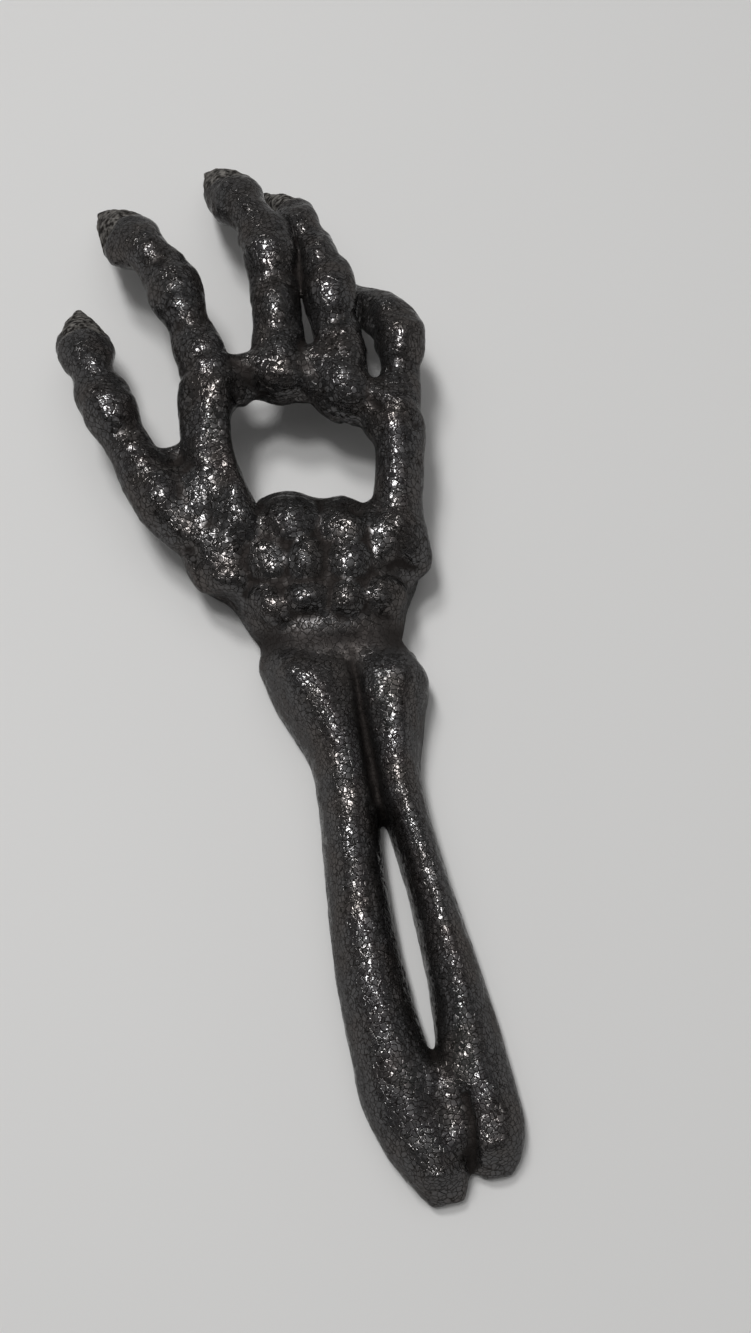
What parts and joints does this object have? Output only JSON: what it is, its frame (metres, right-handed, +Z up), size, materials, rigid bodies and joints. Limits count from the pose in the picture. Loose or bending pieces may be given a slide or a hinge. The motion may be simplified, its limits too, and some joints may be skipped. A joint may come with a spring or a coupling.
{
  "type": "bottle opener",
  "caption": "Cast iron bottle opener shaped as a bony hand on two forearm bones; the palm is an open mouth whose lips lift a crown cap",
  "frame": {"origin": "on the table, under the middle of the cap mouth", "axes": "+Y from the mouth to the fingertips, along the opener; +X to the thumb; +Z up, out of the back of the hand"},
  "size_m": [0.0622, 0.1896, 0.0194],
  "materials": {
    "lacquered_iron": "gloss black lacquer over a pebbled sand casting"
  },
  "bodies": {
    "root": {"ulna": "lacquered_iron", "radius": "lacquered_iron", "wrist_rim": "lacquered_iron", "triquetrum": "lacquered_iron", "lunate": "lacquered_iron", "scaphoid": "lacquered_iron", "wrist_boss": "lacquered_iron", "pisiform": "lacquered_iron", "hamate": "lacquered_iron", "capitate": "lacquered_iron", "trapezoid": "lacquered_iron", "trapezium": "lacquered_iron", "lip_left": "lacquered_iron", "lip_right": "lacquered_iron", "ring_metacarpal": "lacquered_iron", "middle_knuckle": "lacquered_iron", "index_knuckle": "lacquered_iron", "thumb_metacarpal": "lacquered_iron", "little_metacarpal": "lacquered_iron", "little_proximal": "lacquered_iron", "little_middle": "lacquered_iron", "little_tip": "lacquered_iron", "ring_proximal": "lacquered_iron", "ring_middle": "lacquered_iron", "ring_tip": "lacquered_iron", "middle_proximal": "lacquered_iron", "middle_middle": "lacquered_iron", "middle_tip": "lacquered_iron", "index_proximal": "lacquered_iron", "index_middle": "lacquered_iron", "index_tip": "lacquered_iron", "thumb_proximal": "lacquered_iron", "thumb_tip": "lacquered_iron"}
  },
  "joints": []
}
